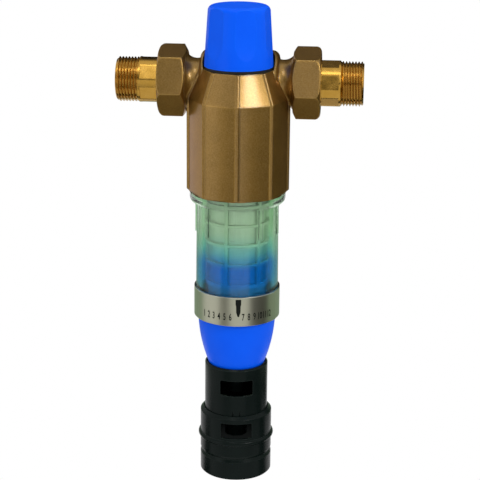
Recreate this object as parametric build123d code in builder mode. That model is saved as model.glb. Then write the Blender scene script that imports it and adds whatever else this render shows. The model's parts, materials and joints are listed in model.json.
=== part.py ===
"""Backwash filter for a one inch water pipe, as an assembly of separate pieces.

Frame: +Z up along the filter's axis, X along the pipe, -Y to the front.
The origin is the centre of the drain sleeve's mouth. All sizes are in millimetres.
"""
import os
from math import cos, hypot, radians, sin, sqrt

from build123d import *

os.makedirs("parts", exist_ok=True)

# Fits and gaps
running_fit = 0.08
seat_fit = 0.04
stop_gap = 0.10
# How far a cutter, or a shape that joins another, runs past it
overrun = 1.0

# Drain sleeve, a push socket for a 50 mm drain pipe
drain_pipe_radius = 25.0
pipe_clearance = 0.4
sleeve_relief = 0.4
sleeve_wall = 2.2
sleeve_height = 52.0
sleeve_lip_thickness = 2.3
sleeve_lip_width = 0.8
sleeve_shoulder_drop = 2.2
sleeve_shoulder_rounding = 1.0
sleeve_edge = 0.8
sleeve_bead_z = 30.2
sleeve_bead_height = 4.4
sleeve_bead_rise = 1.6
sleeve_groove_z = 16.7
sleeve_groove_width = 4.6
sleeve_groove_depth = 1.1
sleeve_window_z = 40.6
sleeve_window_width = 24.0
sleeve_window_height = 12.4
lip_seal_height = 2.4
lip_seal_depth = 1.8

# Drain tube with its funnel and nozzle
tube_radius = 24.2
tube_wall = 1.6
tube_length = 40.4
tube_chamfer = 1.2
tube_window_above_base = 24.9
tube_window_width = 24.8
tube_window_height = 12.3
window_corner = 1.2
drain_turn = 5.3
tongue_width = 4.4
tongue_slit = 0.9
tongue_height = 6.0
tube_hub_thickness = 4.5
tube_hub_radius = 14.5
tube_web_count = 4
tube_web_thickness = 2.4
funnel_flange_thickness = 2.4
funnel_spigot_height = 5.4
funnel_wall = 1.5
funnel_drop = 7.0
funnel_cone_rise = 1.0
spout_radius = 8.5
spout_bottom = 29.0
nozzle_radius = 6.25
nozzle_bore = 4.75
nozzle_length = 14.5
nozzle_below_rim = 10.5
nozzle_flange_radius = 12.4
nozzle_flange_thickness = 3.0
nozzle_thread_length = 7.0

# Drain valve
valve_tube_radius = 13.0
valve_bore = 8.5
valve_spigot_radius = 10.0
valve_flange_radius = 20.5
valve_flange_thickness = 3.5
valve_seat_height = 1.5
valve_seat_width = 1.7
valve_nut_flats = 36.0
valve_nut_thickness = 4.5
body_seal_thickness = 1.5
body_seal_inset = 0.5
stem_radius = 3.0
stem_chamfer = 0.5
stem_below_crosshead = 2.0
plug_radius = 11.4
plug_thickness = 4.5
plug_chamfer = 1.0
valve_seal_thickness = 2.0
valve_seal_inset = 0.4
crosshead_thickness = 4.5
crosshead_lug_width = 5.0
crosshead_above_wheel = 17.5
lug_reach = 15.0
valve_lift = 6.0
slot_end_gap = 0.5
crosshead_port_count = 4
crosshead_port_radius = 1.6
crosshead_port_circle = 5.9

# Handwheel
wheel_height = 40.0
wheel_top_radius = 29.5
wheel_middle_radius = 27.4
wheel_middle_share = 0.52
wheel_rim_gap = 1.4
wheel_wall = 2.4
wheel_foot_wall = 1.4
wheel_floor = 2.8
wheel_hub_radius = 17.5
wheel_thread_below_crosshead = 3.0
wheel_hub_lip = 3.0
wheel_washer_thickness = 1.4
wheel_washer_radius = 17.5

# Clear cup
cup_radius_top = 30.7
cup_radius_bottom = 31.2
cup_bore = 27.0
cup_floor = 5.0
cup_edge = 1.0
cup_taper_above_ring = 1.0
cup_above_wheel = 1.1
collar_radius = 36.0
collar_height = 8.0
collar_rounding = 4.7
cup_height_below_head = 95.7
cup_neck_radius = 31.8
cup_neck_length = 24.8
cup_rib_count = 9
cup_rib_first_angle = -92.0
cup_rib_width = 3.4
cup_rib_rise = 1.1
cup_rib_length = 22.8
o_ring_thickness = 2.0
cup_ring_inset = 0.6

# Month ring
ring_height = 22.4
ring_wall = 1.3
ring_panel_rise = 0.45
ring_panel_angle = 124.0
ring_panel_centre = -84.5
ring_below_cup = 0.8
ring_bead_above_base = 9.0
ring_bead_height = 2.4
ring_bead_depth = 0.5
ring_bead_root = 0.2

# Brass head
head_top_above_port = 12.1
head_shoulder_height = 22.0
panel_corner_radius = 37.2
panel_crown = 0.8
head_turn = 3.5
panel_angles = [head_turn + angle for angle in (-90, -48, 0, 48, 90, 132, 180, 228)]
shoulder_top_radius = 27.4
rib_crest_radius = 38.35
rib_round = 1.4
head_foot_radius = 36.3
head_foot_chamfer = 2.2
knob_recess_radius = 26.6
cavity_radius = 29.0
cavity_step = 1.5
cavity_below_port = 19.4
bell_radius = 20.6
bell_step = 1.6
bell_bore = 16.0
bell_drop = 49.4
screen_shelf_drop = 41.9

# Pipe ports
port_y = 14.0
port_above_base = 80.2
chamber_radius = 23.5
chamber_half_length = 29.3
chamber_rounding = 5.5
neck_waist_radius = 16.8
neck_waist_x = 33.5
neck_root_rise = 0.4
neck_flare_radius = 20.2
neck_flare_x = 39.6
neck_thread_radius = 20.95
neck_end_x = 48.6
neck_end_chamfer = 1.0
neck_bore = 11.5
passage_radius = 9.5
inlet_passage_end = 12.0
outlet_passage_end = 17.0
outlet_well_x = 21.0
outlet_well_radius = 4.6

# Unions: nut and tailpiece on each side
gasket_thickness = 2.0
nut_flats = 47.0
nut_length = 20.4
nut_back_wall = 6.0
nut_turn = 17.0
nut_outer_chamfer = 3.6
nut_inner_chamfer = 2.4
nut_outer_drop = 1.2
nut_inner_drop = 0.6
nut_outer_bow = 1.5
nut_outer_bow_share = 0.28
tail_collar_radius = 19.8
tail_collar_thickness = 3.4
tail_radius = 17.0
tail_shank_gap = 0.6
tail_flats = 32.0
tail_flats_length = 12.6
inlet_tail_turn = 30.0
outlet_tail_turn = 12.0
tail_neck_length = 1.2
pipe_thread_radius = 16.625
pipe_thread_length = 17.2
pipe_thread_chamfer = 1.5
pipe_bore = 12.5

# Screen
screen_radius = 24.0
screen_rib_thickness = 2.0
screen_rib_width = 2.4
screen_rib_count = 6
screen_hoop_count = 5
screen_hoop_height = 2.0
screen_plate_thickness = 3.0
screen_plate_above_plug = 1.5
screen_skirt_wall = 1.6
screen_skirt_gap = 0.5
screen_rib_first_angle = 15.0
screen_head_height = 13.0
screen_head_radius = 25.4
mesh_thickness = 0.5
screen_seal_thickness = 1.5

# Spindle, suction tube and knob
spindle_radius = 4.0
spindle_in_knob = 30.0
spindle_shoulder_radius = 6.0
spindle_shoulder_height = 4.0
suction_tube_radius = 5.0
suction_tube_bore = 3.0
suction_arm_radius = 3.0
suction_arm_bore = 1.6
suction_arm_count = 6
suction_arm_gap = 0.5
suction_socket_radius = 6.5
suction_socket_height = 12.0
suction_socket_floor = 2.0
suction_foot_drop = 0.5
suction_top_drop = 4.0
suction_first_arm = 0.75
suction_last_arm = 0.5
spindle_seal_height = 2.0
spindle_seal_above_gland_foot = 3.0
spindle_seal_width = 2.2
gland_radius = 11.0
gland_depth = 15.0
gland_flats = 26.0
gland_head_thickness = 4.0
gland_ring_depth = 1.7
clip_thickness = 1.2
clip_radius = 7.0
knob_ring_thickness = 2.0
knob_ring_radius = 25.2
knob_ring_width = 3.4
knob_height = 44.4
knob_base_radius = 25.5
knob_top_radius = 22.9
knob_wall = 2.4
knob_hub_radius = 8.0
knob_hub_above_base = 11.0
knob_web_count = 4
knob_rounding = 4.2
knob_flat_count = 6
knob_flat_first_angle = -73.0
knob_flat_depth = 1.45
knob_flat_runout = 14.0
knob_flat_foot = 6.7
knob_runout_share = 0.75
knob_flat_end_gap = 0.05
knob_web_thickness = 1.8

# Heights worked out upwards from the drain sleeve's mouth
socket_bore = drain_pipe_radius + pipe_clearance
sleeve_bore = socket_bore + sleeve_relief
sleeve_radius = socket_bore + sleeve_wall
lip_z = sleeve_height - sleeve_lip_thickness
tube_z = lip_z - stop_gap
flange_z = tube_z - funnel_flange_thickness
tube_top = tube_z + tube_length
tube_inner = tube_radius - tube_wall
tube_window_z = tube_z + tube_window_above_base
nozzle_flange_z = tube_top - nozzle_below_rim
hub_z = nozzle_flange_z + nozzle_flange_thickness
hub_top = hub_z + tube_hub_thickness
nozzle_z = nozzle_flange_z - nozzle_length
wheel_z = hub_top + wheel_washer_thickness + stop_gap
wheel_top = wheel_z + wheel_height
crosshead_z = wheel_z + crosshead_above_wheel
wheel_bottom_radius = tube_inner - wheel_rim_gap
cup_z = wheel_top + cup_above_wheel
cup_floor_top = cup_z + cup_floor
valve_nut_z = cup_z - valve_nut_thickness
valve_flange_z = cup_floor_top + body_seal_thickness
valve_flange_top = valve_flange_z + valve_flange_thickness
seat_z = valve_flange_top + valve_seat_height
plug_z = seat_z + stop_gap / 2 + valve_seal_thickness
plug_top = plug_z + plug_thickness
head_z = cup_z + cup_height_below_head
port_z = head_z + port_above_base
head_top = port_z + head_top_above_port
shoulder_z = head_top - head_shoulder_height
cup_top = head_z + cup_neck_length
bell_z = port_z - bell_drop
shelf_z = port_z - screen_shelf_drop
cavity_top = port_z - cavity_below_port
screen_top = shelf_z - screen_seal_thickness
screen_plate_z = plug_top + valve_lift + screen_plate_above_plug
mesh_z = screen_plate_z + screen_plate_thickness
mesh_top = screen_top - screen_head_height
mesh_outer = screen_radius - screen_rib_thickness
mesh_inner = mesh_outer - mesh_thickness
knob_z = head_top + knob_ring_thickness + stop_gap
knob_top = knob_z + knob_height
gland_head_top = head_top + gland_head_thickness
gland_bottom = head_top - gland_depth

# The pipe's own plane and axis
pipe_plane = Plane(origin=(0, port_y, port_z), x_dir=(1, 0, 0), z_dir=(0, -1, 0))
pipe_axis = Axis((0, port_y, port_z), (1, 0, 0))

# Upright plane that the drain's windows are cut from
drain_side = (cos(radians(drain_turn)), sin(radians(drain_turn)), 0)
drain_plane = Plane(origin=(0, 0, 0), x_dir=drain_side, z_dir=(drain_side[1], -drain_side[0], 0))


def tube(low, high, outer, inner=0.0, mode=Mode.ADD):
    """Upright disc or tube between two heights, in the part being built."""
    with BuildSketch(Plane.XY.offset(low)) as ring:
        Circle(outer)
        if inner > 0:
            Circle(inner, mode=Mode.SUBTRACT)
    extrude(ring.sketch, amount=high - low, mode=mode)


def turned(*corners, plane=Plane.XZ, axis=Axis.Z, mode=Mode.ADD):
    """Solid of revolution from the corners of its half section."""
    with BuildSketch(plane) as section:
        with BuildLine():
            Polyline(*corners, close=True)
        make_face()
    revolve(section.sketch, axis=axis, mode=mode)


def hexagon(low, high, flats, mode=Mode.ADD):
    """Upright hexagon between two heights."""
    with BuildSketch(Plane.XY.offset(low)) as outline:
        RegularPolygon(flats / 2, 6, major_radius=False)
    extrude(outline.sketch, amount=high - low, mode=mode)


def windows(z, width, height, reach):
    """Cut a window with round corners through the front and the back wall."""
    with BuildSketch(drain_plane) as opening:
        with Locations((0, z)):
            RectangleRounded(width, height, window_corner)
    extrude(opening.sketch, amount=reach, both=True, mode=Mode.SUBTRACT)


# Drain sleeve: socket, seal bead, sloped shoulder and the lip that rides on the tube
sleeve_bead_low = sleeve_bead_z - sleeve_bead_height / 2
sleeve_bead_high = sleeve_bead_z + sleeve_bead_height / 2
sleeve_bead_crest = sleeve_radius + sleeve_bead_rise
seal_low = sleeve_bead_z - lip_seal_height / 2
seal_high = sleeve_bead_z + lip_seal_height / 2
seal_root = socket_bore + lip_seal_depth
groove_low = sleeve_groove_z - sleeve_groove_width / 2
groove_high = sleeve_groove_z + sleeve_groove_width / 2
sleeve_corner_z = sleeve_height - sleeve_shoulder_drop
with BuildPart() as drain_sleeve:
    with BuildSketch(Plane.XZ):
        with BuildLine():
            Polyline(
                (sleeve_radius, sleeve_bead_low),
                (sleeve_radius, groove_high),
                (sleeve_radius - sleeve_groove_depth, sleeve_groove_z),
                (sleeve_radius, groove_low),
                (sleeve_radius, sleeve_edge),
                (sleeve_radius - sleeve_edge, 0),
                (socket_bore, 0),
                (socket_bore, seal_low),
                (seal_root, seal_low),
                (seal_root, seal_high),
                (sleeve_bore, seal_high),
                (sleeve_bore, lip_z),
                (tube_radius + running_fit, lip_z),
                (tube_radius + running_fit, sleeve_height),
                (tube_radius + sleeve_lip_width, sleeve_height),
            )
            Polyline(
                (tube_radius + sleeve_lip_width, sleeve_height),
                (sleeve_radius, sleeve_corner_z),
                (sleeve_radius, sleeve_bead_high),
            )
            ThreePointArc(
                (sleeve_radius, sleeve_bead_high),
                (sleeve_bead_crest, sleeve_bead_z),
                (sleeve_radius, sleeve_bead_low),
            )
        make_face()
    revolve(axis=Axis.Z)
    circles = drain_sleeve.edges().filter_by(GeomType.CIRCLE)
    fillet(
        circles.filter_by_position(Axis.Z, sleeve_corner_z - seat_fit, sleeve_corner_z + seat_fit),
        sleeve_shoulder_rounding,
    )
    windows(sleeve_window_z, sleeve_window_width, sleeve_window_height, sleeve_radius + sleeve_bead_rise)
drain_sleeve.part.label = "drain_sleeve"
export_step(drain_sleeve.part, "parts/drain_sleeve.step")

with BuildPart() as drain_lip_seal:
    tube(seal_low, seal_high, seal_root, sleeve_bore)
drain_lip_seal.part.label = "drain_lip_seal"
export_step(drain_lip_seal.part, "parts/drain_lip_seal.step")

# Drain funnel: flange that carries the tube and stops the sleeve, cone and spout
funnel_rim = tube_inner - seat_fit
funnel_bore = spout_radius - funnel_wall
cone_top = tube_z + funnel_cone_rise
with BuildPart() as drain_funnel:
    turned(
        (funnel_bore, spout_bottom),
        (spout_radius, spout_bottom),
        (spout_radius, cone_top - funnel_drop - funnel_wall),
        (funnel_rim, flange_z),
        (sleeve_bore - running_fit, flange_z),
        (sleeve_bore - running_fit, tube_z),
        (funnel_rim, tube_z),
        (funnel_rim, tube_z + funnel_spigot_height),
        (funnel_rim - funnel_wall, tube_z + funnel_spigot_height),
        (funnel_rim - funnel_wall, cone_top),
        (funnel_bore, cone_top - funnel_drop),
    )
drain_funnel.part.label = "drain_funnel"
export_step(drain_funnel.part, "parts/drain_funnel.step")

# Drain tube: wall, hub on webs, two windows and a snap tongue in front and behind
with BuildPart() as drain_tube:
    tube(tube_z, tube_top, tube_radius, tube_inner)
    rim = drain_tube.edges().group_by(Axis.Z)[-1].filter_by(GeomType.CIRCLE).sort_by(SortBy.RADIUS)[-1]
    chamfer(rim, tube_chamfer)
    tube(hub_z, hub_top, tube_hub_radius, valve_spigot_radius + seat_fit)
    web_start = tube_hub_radius - overrun
    web_end = tube_inner + tube_wall / 2
    with BuildSketch(Plane.XY.offset(hub_z)):
        with PolarLocations((web_start + web_end) / 2, tube_web_count, start_angle=45):
            Rectangle(web_end - web_start, tube_web_thickness)
    extrude(amount=tube_hub_thickness)
    windows(tube_window_z, tube_window_width, tube_window_height, tube_radius + overrun)
    slit_x = (tongue_width + tongue_slit) / 2
    with BuildSketch(drain_plane):
        with Locations((-slit_x, tube_z + tongue_height / 2), (slit_x, tube_z + tongue_height / 2)):
            Rectangle(tongue_slit, tongue_height)
    extrude(amount=tube_radius + overrun, both=True, mode=Mode.SUBTRACT)
drain_tube.part.label = "drain_tube"
export_step(drain_tube.part, "parts/drain_tube.step")

# Outlet nozzle, screwed into the valve body so that its flange clamps the tube's hub
with BuildPart() as outlet_nozzle:
    tube(nozzle_z, nozzle_flange_z, nozzle_radius)
    tube(nozzle_flange_z, hub_z, nozzle_flange_radius)
    tube(hub_z, hub_z + nozzle_thread_length, valve_bore - seat_fit)
    tube(nozzle_z, hub_z + nozzle_thread_length, nozzle_bore, mode=Mode.SUBTRACT)
outlet_nozzle.part.label = "outlet_nozzle"
export_step(outlet_nozzle.part, "parts/outlet_nozzle.step")

# Drain valve body: flange and seat in the cup, tube with two slots, spigot below
slot_low = crosshead_z - slot_end_gap
slot_high = crosshead_z + crosshead_thickness + valve_lift + slot_end_gap
with BuildPart() as drain_valve_body:
    tube(hub_z, hub_top, valve_spigot_radius)
    tube(hub_top, valve_flange_z, valve_tube_radius)
    tube(valve_flange_z, valve_flange_top, valve_flange_radius)
    tube(valve_flange_top, seat_z, valve_bore + valve_seat_width)
    tube(hub_z, seat_z, valve_bore, mode=Mode.SUBTRACT)
    with BuildSketch(Plane.YZ):
        with Locations((0, (slot_low + slot_high) / 2)):
            Rectangle(crosshead_lug_width + 2 * running_fit, slot_high - slot_low)
    extrude(amount=valve_tube_radius + overrun, both=True, mode=Mode.SUBTRACT)
drain_valve_body.part.label = "drain_valve_body"
export_step(drain_valve_body.part, "parts/drain_valve_body.step")

with BuildPart() as valve_body_seal:
    tube(cup_floor_top, valve_flange_z, valve_flange_radius - body_seal_inset, valve_tube_radius + seat_fit)
valve_body_seal.part.label = "valve_body_seal"
export_step(valve_body_seal.part, "parts/valve_body_seal.step")

with BuildPart() as valve_body_nut:
    hexagon(valve_nut_z, cup_z, valve_nut_flats)
    tube(valve_nut_z, cup_z, valve_tube_radius + seat_fit, mode=Mode.SUBTRACT)
valve_body_nut.part.label = "valve_body_nut"
export_step(valve_body_nut.part, "parts/valve_body_nut.step")

with BuildPart() as wheel_washer:
    tube(hub_top, hub_top + wheel_washer_thickness, wheel_washer_radius, valve_tube_radius + seat_fit)
wheel_washer.part.label = "wheel_washer"
export_step(wheel_washer.part, "parts/wheel_washer.step")

# Valve stem with its plug, rubber face and the crosshead that the handwheel drives
stem_bottom = crosshead_z - stem_below_crosshead
with BuildPart() as valve_stem:
    tube(stem_bottom, plug_top, stem_radius)
    chamfer(valve_stem.edges().group_by(Axis.Z)[0], stem_chamfer)
valve_stem.part.label = "valve_stem"
export_step(valve_stem.part, "parts/valve_stem.step")

with BuildPart() as valve_plug:
    tube(plug_z, plug_top, plug_radius, stem_radius)
    chamfer(valve_plug.edges().group_by(Axis.Z)[-1].sort_by(SortBy.RADIUS)[-1], plug_chamfer)
valve_plug.part.label = "valve_plug"
export_step(valve_plug.part, "parts/valve_plug.step")

with BuildPart() as valve_seal:
    tube(plug_z - valve_seal_thickness, plug_z, plug_radius - valve_seal_inset, stem_radius)
valve_seal.part.label = "valve_seal"
export_step(valve_seal.part, "parts/valve_seal.step")

with BuildPart() as stem_crosshead:
    tube(crosshead_z, crosshead_z + crosshead_thickness, valve_bore - running_fit)
    with BuildSketch(Plane.XY.offset(crosshead_z)):
        Rectangle(2 * lug_reach, crosshead_lug_width)
        Circle(lug_reach - running_fit, mode=Mode.INTERSECT)
    extrude(amount=crosshead_thickness)
    tube(crosshead_z, crosshead_z + crosshead_thickness, stem_radius, mode=Mode.SUBTRACT)
    with BuildSketch(Plane.XY.offset(crosshead_z)):
        with PolarLocations(crosshead_port_circle, crosshead_port_count, start_angle=45):
            Circle(crosshead_port_radius)
    extrude(amount=crosshead_thickness, mode=Mode.SUBTRACT)
stem_crosshead.part.label = "stem_crosshead"
export_step(stem_crosshead.part, "parts/stem_crosshead.step")

# Handwheel: bowed skirt, floor and a hub whose wide middle drives the crosshead
wheel_mid_z = wheel_z + wheel_height * wheel_middle_share
hub_bore = valve_tube_radius + running_fit
wheel_hub_top = valve_nut_z - stop_gap
thread_low = crosshead_z - wheel_thread_below_crosshead
thread_high = wheel_hub_top - wheel_hub_lip
with BuildPart() as handwheel:
    with BuildSketch(Plane.XZ):
        with BuildLine():
            ThreePointArc(
                (wheel_bottom_radius, wheel_z),
                (wheel_middle_radius, wheel_mid_z),
                (wheel_top_radius, wheel_top),
            )
            Line((wheel_top_radius, wheel_top), (wheel_top_radius - wheel_wall, wheel_top))
            ThreePointArc(
                (wheel_top_radius - wheel_wall, wheel_top),
                (wheel_middle_radius - wheel_wall, wheel_mid_z),
                (wheel_bottom_radius - wheel_foot_wall, wheel_z + wheel_floor),
            )
            Polyline(
                (wheel_bottom_radius - wheel_foot_wall, wheel_z + wheel_floor),
                (wheel_hub_radius, wheel_z + wheel_floor),
                (wheel_hub_radius, wheel_hub_top),
                (hub_bore, wheel_hub_top),
                (hub_bore, thread_high),
                (lug_reach, thread_high),
                (lug_reach, thread_low),
                (hub_bore, thread_low),
                (hub_bore, wheel_z),
                (wheel_bottom_radius, wheel_z),
            )
        make_face()
    revolve(axis=Axis.Z)
handwheel.part.label = "handwheel"
export_step(handwheel.part, "parts/handwheel.step")

# Clear cup: floor, slightly flared wall, collar with a rounded foot, ribs and screwed neck
ring_z = cup_z - ring_below_cup
ring_top = ring_z + ring_height
collar_z = head_z - collar_height
snap_groove_z = ring_z + ring_bead_above_base
with BuildPart() as filter_cup:
    turned(
        (0, cup_z),
        (cup_radius_bottom - cup_edge, cup_z),
        (cup_radius_bottom, cup_z + cup_edge),
        (cup_radius_bottom, snap_groove_z),
        (cup_radius_bottom - ring_bead_depth, snap_groove_z),
        (cup_radius_bottom - ring_bead_depth, snap_groove_z + ring_bead_height),
        (cup_radius_bottom, snap_groove_z + ring_bead_height),
        (cup_radius_bottom, ring_top + cup_taper_above_ring),
        (cup_radius_top, collar_z),
        (collar_radius, collar_z),
        (collar_radius, head_z),
        (cup_neck_radius, head_z),
        (cup_neck_radius, cup_top),
        (0, cup_top),
    )
    circles = filter_cup.edges().filter_by(GeomType.CIRCLE)
    foot = circles.filter_by_position(Axis.Z, collar_z - seat_fit, collar_z + seat_fit)
    fillet(foot.sort_by(SortBy.RADIUS)[-1], collar_rounding)
    rib_centre = (cup_radius_top + cup_rib_rise) / 2
    with BuildSketch(Plane.XY.offset(collar_z - cup_rib_length)):
        with PolarLocations(rib_centre, cup_rib_count, start_angle=cup_rib_first_angle):
            Rectangle(cup_radius_top + cup_rib_rise, cup_rib_width)
        Circle(cup_radius_top + cup_rib_rise, mode=Mode.INTERSECT)
    extrude(amount=cup_rib_length + overrun)
    tube(cup_floor_top, cup_top, cup_bore, mode=Mode.SUBTRACT)
    tube(cup_z, cup_floor_top, valve_tube_radius + seat_fit, mode=Mode.SUBTRACT)
filter_cup.part.label = "filter_cup"
export_step(filter_cup.part, "parts/filter_cup.step")

cup_ring_radius = cup_neck_radius - cup_ring_inset
with BuildPart() as cup_o_ring:
    tube(cup_top, cup_top + o_ring_thickness, cup_ring_radius, cup_ring_radius - o_ring_thickness)
cup_o_ring.part.label = "cup_o_ring"
export_step(cup_o_ring.part, "parts/cup_o_ring.step")

# Month ring: sleeve with a snap bead and a slightly raised scale panel in front
ring_inner = cup_radius_bottom + running_fit
ring_outer = ring_inner + ring_wall
with BuildPart() as month_ring:
    tube(ring_z, ring_top, ring_outer, ring_inner)
    with BuildSketch(Plane.XY.offset(ring_z)):
        with BuildLine():
            panel_start = ring_panel_centre - ring_panel_angle / 2
            panel_outer = CenterArc((0, 0), ring_outer + ring_panel_rise, panel_start, ring_panel_angle)
            Line(panel_outer @ 0, (0, 0))
            Line((0, 0), panel_outer @ 1)
        make_face()
        Circle(ring_inner + ring_wall / 2, mode=Mode.SUBTRACT)
    extrude(amount=ring_height)
    tube(
        snap_groove_z + stop_gap,
        snap_groove_z + ring_bead_height - stop_gap,
        ring_inner + ring_bead_root,
        cup_radius_bottom - ring_bead_depth + running_fit,
    )
month_ring.part.label = "month_ring"
export_step(month_ring.part, "parts/month_ring.step")

# Brass head: crowned panels with raised ribs, and a chamber with a flared neck on each side
def panel_outline(corner_radius):
    """Closed outline of slightly crowned panels between the rib lines."""
    corners = [
        (corner_radius * cos(radians(angle)), corner_radius * sin(radians(angle)))
        for angle in panel_angles
    ]
    for start, end in zip(corners, corners[1:] + corners[:1]):
        middle = ((start[0] + end[0]) / 2, (start[1] + end[1]) / 2)
        out = 1 + panel_crown / hypot(*middle)
        ThreePointArc(start, (middle[0] * out, middle[1] * out), end)


with BuildPart() as head_rib:
    with BuildLine(Plane.XZ) as rib_path:
        Polyline(
            (rib_crest_radius - rib_round, head_z),
            (rib_crest_radius - rib_round, shoulder_z),
            (shoulder_top_radius - rib_round + overrun, head_top + overrun),
        )
    with BuildSketch(Plane.XY.offset(head_z)):
        with Locations((rib_crest_radius - rib_round, 0)):
            Circle(rib_round)
    sweep(path=rib_path.line, transition=Transition.ROUND)

shoulder_arc_x = chamber_half_length - chamber_rounding * (1 - sqrt(0.5))
shoulder_arc_r = chamber_radius - chamber_rounding * (1 - sqrt(0.5))
with BuildPart() as head_housing:
    with BuildSketch(Plane.XY.offset(head_z)):
        with BuildLine():
            panel_outline(panel_corner_radius)
        make_face()
    extrude(amount=shoulder_z - head_z)
    with BuildSketch(Plane.XY.offset(shoulder_z)):
        with BuildLine():
            panel_outline(panel_corner_radius)
        make_face()
    with BuildSketch(Plane.XY.offset(head_top)):
        with BuildLine():
            panel_outline(shoulder_top_radius)
        make_face()
    loft()
    for angle in panel_angles:
        add(head_rib.part, rotation=(0, 0, angle))
    turned(
        (0, head_z),
        (head_foot_radius, head_z),
        (rib_crest_radius + overrun, head_z + head_foot_chamfer),
        (rib_crest_radius + overrun, head_top),
        (0, head_top),
        mode=Mode.INTERSECT,
    )
    with BuildSketch(pipe_plane):
        with BuildLine():
            for side in (-1, 1):
                Line((0, chamber_radius), (side * (chamber_half_length - chamber_rounding), chamber_radius))
                ThreePointArc(
                    (side * (chamber_half_length - chamber_rounding), chamber_radius),
                    (side * shoulder_arc_x, shoulder_arc_r),
                    (side * chamber_half_length, chamber_radius - chamber_rounding),
                )
                Line(
                    (side * chamber_half_length, chamber_radius - chamber_rounding),
                    (side * chamber_half_length, neck_waist_radius + neck_root_rise),
                )
                ThreePointArc(
                    (side * chamber_half_length, neck_waist_radius + neck_root_rise),
                    (side * neck_waist_x, neck_waist_radius),
                    (side * neck_flare_x, neck_flare_radius),
                )
                Polyline(
                    (side * neck_flare_x, neck_flare_radius),
                    (side * neck_flare_x, neck_thread_radius),
                    (side * (neck_end_x - neck_end_chamfer), neck_thread_radius),
                    (side * neck_end_x, neck_thread_radius - neck_end_chamfer),
                    (side * neck_end_x, 0),
                )
            Line((-neck_end_x, 0), (neck_end_x, 0))
        make_face()
    revolve(axis=pipe_axis)
    # Round recess that the knob turns in
    tube(head_top, head_top + chamber_radius, knob_recess_radius, mode=Mode.SUBTRACT)
    # Water space: cup thread, outer ring space, inner bell and the gland's hole
    tube(head_z, cup_top, cup_neck_radius + seat_fit, mode=Mode.SUBTRACT)
    tube(cup_top, cup_top + o_ring_thickness, cup_ring_radius + seat_fit, mode=Mode.SUBTRACT)
    tube(cup_top, bell_z, cavity_radius, mode=Mode.SUBTRACT)
    tube(bell_z, shelf_z, cavity_radius, bell_radius, mode=Mode.SUBTRACT)
    tube(shelf_z, cavity_top, cavity_radius - cavity_step, bell_radius + bell_step, mode=Mode.SUBTRACT)
    tube(bell_z, gland_bottom + overrun, bell_bore, mode=Mode.SUBTRACT)
    tube(gland_bottom, head_top, gland_radius + seat_fit, mode=Mode.SUBTRACT)
    tube(head_top - gland_ring_depth, head_top, gland_radius + o_ring_thickness, mode=Mode.SUBTRACT)
    # Waterways from the two necks
    for side, passage_end in ((-1, inlet_passage_end), (1, outlet_passage_end)):
        turned(
            (side * neck_end_x, 0),
            (side * neck_end_x, neck_bore),
            (side * chamber_half_length, neck_bore),
            (side * chamber_half_length, passage_radius),
            (side * passage_end, passage_radius),
            (side * passage_end, 0),
            plane=pipe_plane,
            axis=pipe_axis,
            mode=Mode.SUBTRACT,
        )
    with BuildSketch(Plane.XY.offset(cavity_top - overrun)):
        with Locations((outlet_well_x, port_y)):
            Circle(outlet_well_radius)
    extrude(amount=port_z - cavity_top + overrun, mode=Mode.SUBTRACT)
head_housing.part.label = "head_housing"
export_step(head_housing.part, "parts/head_housing.step")

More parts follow.
